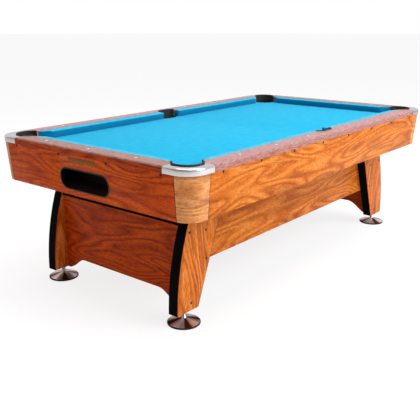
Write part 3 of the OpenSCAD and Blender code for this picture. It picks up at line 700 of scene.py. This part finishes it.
@dataclass
class Cabinet:
    """Boards, corner blocks, skirts, end panels, legs, the ball return and screws."""

    end_seam: float = 0.545
    side_seam: float = 1.018
    window: tuple[float, float, float] = (0.320, 0.094, 0.042)
    lean: float = math.atan(15 / 193)
    easing: float = 0.0009

    def build(self) -> None:
        """Dress the boards and build the surround, the plate and the screws."""
        side = WoodFoil("side_wood_foil", seams=((Axis.X, self.side_seam),))
        # Painted shade: end boards and end panels, facing away from the key light, get darker
        # copies of the side foil.
        end = WoodFoil("end_wood_foil_painted_shade", light="#f87a1c", body="#e8620c", dark="#8c3002",
                       shift=(3.1, 0.4, 2.2), seams=((Axis.Y, self.end_seam),), rings=13.0)
        panel = WoodFoil("panel_wood_foil_painted_shade", light="#ec6c16", body="#d8580a", dark="#842c02",
                         shift=(5.1, 1.4, 0.7), rings=13.0)
        # Painted highlight: the corner blocks get a lighter copy of the side foil.
        block = WoodFoil("corner_wood_foil_painted_highlight", light="#ffcf8c", body="#ffb05c",
                         dark="#d07428",
                         coat=0.35, gloss=0.35, shift=(1.3, 2.7, 5.2),
                         seams=((Axis.Y, self.end_seam),), rings=11.0)
        skirt = WoodFoil("skirt_wood_foil", shift=(7.7, 1.2, 0.6), body="#f28e30")
        leg = WoodFoil("leg_wood_foil", grain=Grain.UPRIGHT, shift=(0.2, 0.9, 3.3),
                       light="#ffb064", body="#f58e34", dark="#b0541a", rings=11.0)
        for name, finish in (("apron_right", side), ("apron_left", side), ("apron_near_end", end),
                             ("apron_far_end", end), ("skirt_right", skirt), ("skirt_left", skirt),
                             ("end_panel_near", panel), ("end_panel_far", panel)):
            eased(name + "_board", name, finish, self.easing)
        for corner in CORNER_NAMES:
            eased("corner_board_" + corner, "corner_block_" + corner, block, self.easing)
            eased("leg_board_" + corner, "leg_" + corner, leg, self.easing)
        dress(MouldedPlastic("black_edging", colour="#030202", roughness=0.8, gloss=0.1),
              "edge_bands")
        dress(MouldedPlastic("return_plastic", colour="#040404", roughness=0.7, gloss=0.2),
              "return_tray", "ball_run_right", "ball_run_left")
        dress(MouldedPlastic("raw_fibreboard", colour="#8d6b45", roughness=0.9), "bed_panel",
              "bed_bearers")
        eased("brass_plate", "blank_plate", Plating("brushed_plate", colour="#8f6030",
                                                    roughness=0.35), 0.0003)
        self.surround()
        self.screws()

    def surround(self) -> None:
        """Mould the surround of the opening, with a sleeve through the board."""
        length, high, radius = self.window
        low, high_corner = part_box("return_trim")
        centre = middle("return_trim")
        up = Vector((-math.sin(self.lean), 0, math.cos(self.lean)))
        out = Vector((-1, 0, 0))
        face = Vector((low[0] + (high_corner[0] - low[0]) / 2 + 0.0008, centre.y, centre.z))
        section = [(-0.0014, -0.0158), (-0.0014, 0.0004), (-0.0010, 0.0012), (-0.0002, 0.0016),
                   (0.0036, 0.0016), (0.0046, 0.0011), (0.0050, 0.0002), (0.0048, 0.0001),
                   (-0.0001, 0.0001), (-0.0001, -0.0158)]
        rings = []
        for quarter, (su, sv) in enumerate(((1, 1), (-1, 1), (-1, -1), (1, -1))):
            for i in range(CORNER_STEPS + 1):
                angle = math.radians(90 * quarter + 90 * i / CORNER_STEPS)
                across = Vector((math.cos(angle), math.sin(angle)))
                base = Vector((su * (length / 2 - radius), sv * (high / 2 - radius)))
                ring = []
                for reach, depth in section:
                    spot = base + across * (radius + reach)
                    ring.append(face + Vector((0, spot.x, 0)) + up * spot.y + out * depth)
                rings.append(ring)
        verts, faces = swept(rings, closed_path=True)
        finish = MouldedPlastic("surround_plastic", colour="#0a0a0b", roughness=0.35)
        made = piece("return_surround", verts, faces, finish)
        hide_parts("return_trim")

    def screw_template(self) -> tuple[list[Vector], list[tuple[int, ...]]]:
        """Return a domed screw head with a cross recess, looking along +Z from z = 0."""
        profile = [(0.006, -0.0019), (0.0060, -0.0015), (0.0054, -0.0009), (0.0042, -0.0004),
                   (0.0030, -0.0001)]
        sides = SCREW_SIDES
        turns = [2 * math.pi * k / sides for k in range(sides)]
        verts = [Vector((r * math.cos(a), r * math.sin(a), z)) for r, z in profile for a in turns]
        faces: list[tuple[int, ...]] = []
        for row in range(len(profile) - 1):
            a, b = row * sides, (row + 1) * sides
            faces += [(a + k, a + (k + 1) % sides, b + (k + 1) % sides, b + k)
                      for k in range(sides)]
        first = len(verts)
        for k in range(sides):
            wide = k % 6 in (0, 1, 5)
            radius = 0.0029 if wide else 0.0009
            verts.append(Vector((radius * math.cos(turns[k]), radius * math.sin(turns[k]), 0.0)))
        top = (len(profile) - 1) * sides
        faces += [(top + k, top + (k + 1) % sides, first + (k + 1) % sides, first + k)
                  for k in range(sides)]
        pit = len(verts)
        verts += [v * 0.9 + Vector((0, 0, -0.0014)) for v in verts[first:first + sides]]
        faces += [(first + k, first + (k + 1) % sides, pit + (k + 1) % sides, pit + k)
                  for k in range(sides)]
        faces.append(tuple(range(pit, pit + sides)))
        faces.append(tuple(range(sides)))
        return verts, faces

    def screws(self) -> None:
        """Put a cross-recessed head on every screw of the cabinet."""
        shape = bmesh.new()
        shape.from_mesh(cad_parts["cabinet_screws"].data)
        bmesh.ops.remove_doubles(shape, verts=shape.verts, dist=1e-6)
        left = set(shape.verts)
        heads = []
        while left:
            island, edge = [], [left.pop()]
            while edge:
                vert = edge.pop()
                island.append(vert.co.copy())
                for link in vert.link_edges:
                    other = link.other_vert(vert)
                    if other in left:
                        left.remove(other)
                        edge.append(other)
            heads.append(island)
        shape.free()
        verts, faces = self.screw_template()
        all_verts: list[Vector] = []
        all_faces: list[tuple[int, ...]] = []
        for island in heads:
            centre = sum(island, Vector()) / len(island)
            if centre.z < LEG_SCREWS_BELOW:
                out = Vector((0, math.copysign(1, centre.y), 0))
            elif abs(centre.y) > SIDE_SCREWS_BEYOND:
                out = Vector((0, math.copysign(math.cos(self.lean), centre.y),
                              -math.sin(self.lean)))
            else:
                out = Vector((math.copysign(math.cos(self.lean), centre.x), 0,
                              -math.sin(self.lean)))
            crown = centre + out * max((p - centre).dot(out) for p in island)
            turn = Matrix.Rotation(0.4 + 2.0 * centre.x, 4, "Z")
            facing = out.to_track_quat("Z", "Y").to_matrix().to_4x4()
            place = Matrix.Translation(crown) @ facing @ turn
            base = len(all_verts)
            all_verts += [place @ v for v in verts]
            all_faces += [tuple(base + k for k in f) for f in faces]
        finish = MouldedPlastic("black_screws", colour="#150b07", roughness=0.4)
        made = piece("cross_screws", all_verts, all_faces, finish, sharp_deg=30)
        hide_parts("cabinet_screws")
        LOG.info("%d screws", len(heads))


@dataclass
class Feet:
    """Adjustable feet."""

    pitch: float = 0.0025
    depth: float = 0.0012
    sides: int = 20

    def build(self) -> None:
        """Dress the feet and cut their threads."""
        for corner in CORNER_NAMES:
            spot = middle("foot_cone_" + corner)
            # The feet's copper colour and rays are painted reflection and painted highlight.
            dress(SpunMetal("spun_plating_painted_reflection_" + corner, centre=(spot.x, spot.y)),
                  "foot_cone_" + corner)
            self.stem(corner)
        dress(MouldedPlastic("foot_rubber", colour="#050505", roughness=0.8, gloss=0.2),
              *("foot_ring_" + c for c in CORNER_NAMES))
        dress(Plating("bush_plating", colour="#d8d8d8", roughness=0.3), "foot_bushes")

    def stem(self, corner: str) -> None:
        """Build a threaded stem: a screw surface between two plain ends."""
        node = "foot_stem_" + corner
        low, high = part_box(node)
        spot = middle(node)
        radius = (high[0] - low[0]) / 2 - 0.00005
        rows = int((high[2] - low[2]) / (self.pitch / 4))
        rings = []
        for row in range(rows + 1):
            z = low[2] + (high[2] - low[2]) * row / rows
            ring = []
            for k in range(self.sides):
                share = (k / self.sides - (z - low[2]) / self.pitch) % 1.0
                flank = abs(2 * share - 1)
                cut = self.depth * min(1.0, max(0.0, flank * 1.25 - 0.12))
                r = radius - (cut if 0 < row < rows else self.depth)
                angle = 2 * math.pi * k / self.sides
                ring.append(Vector((spot.x + r * math.cos(angle), spot.y + r * math.sin(angle), z)))
            rings.append(ring)
        verts, faces = swept(rings, closed_path=False)
        made = piece("threaded_" + node, verts, faces, Plating("stem_plating", colour="#f6f6f6"),
                     body="stem_" + corner, sharp_deg=60)
        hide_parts(node)


def main() -> None:
    """Build the studio and dress the table."""
    logging.basicConfig(level=logging.INFO, format="%(message)s")
    Studio().build()
    Bed().build()
    Rails().build()
    Cabinet().build()
    Feet().build()


if __name__ == "__main__":
    main()
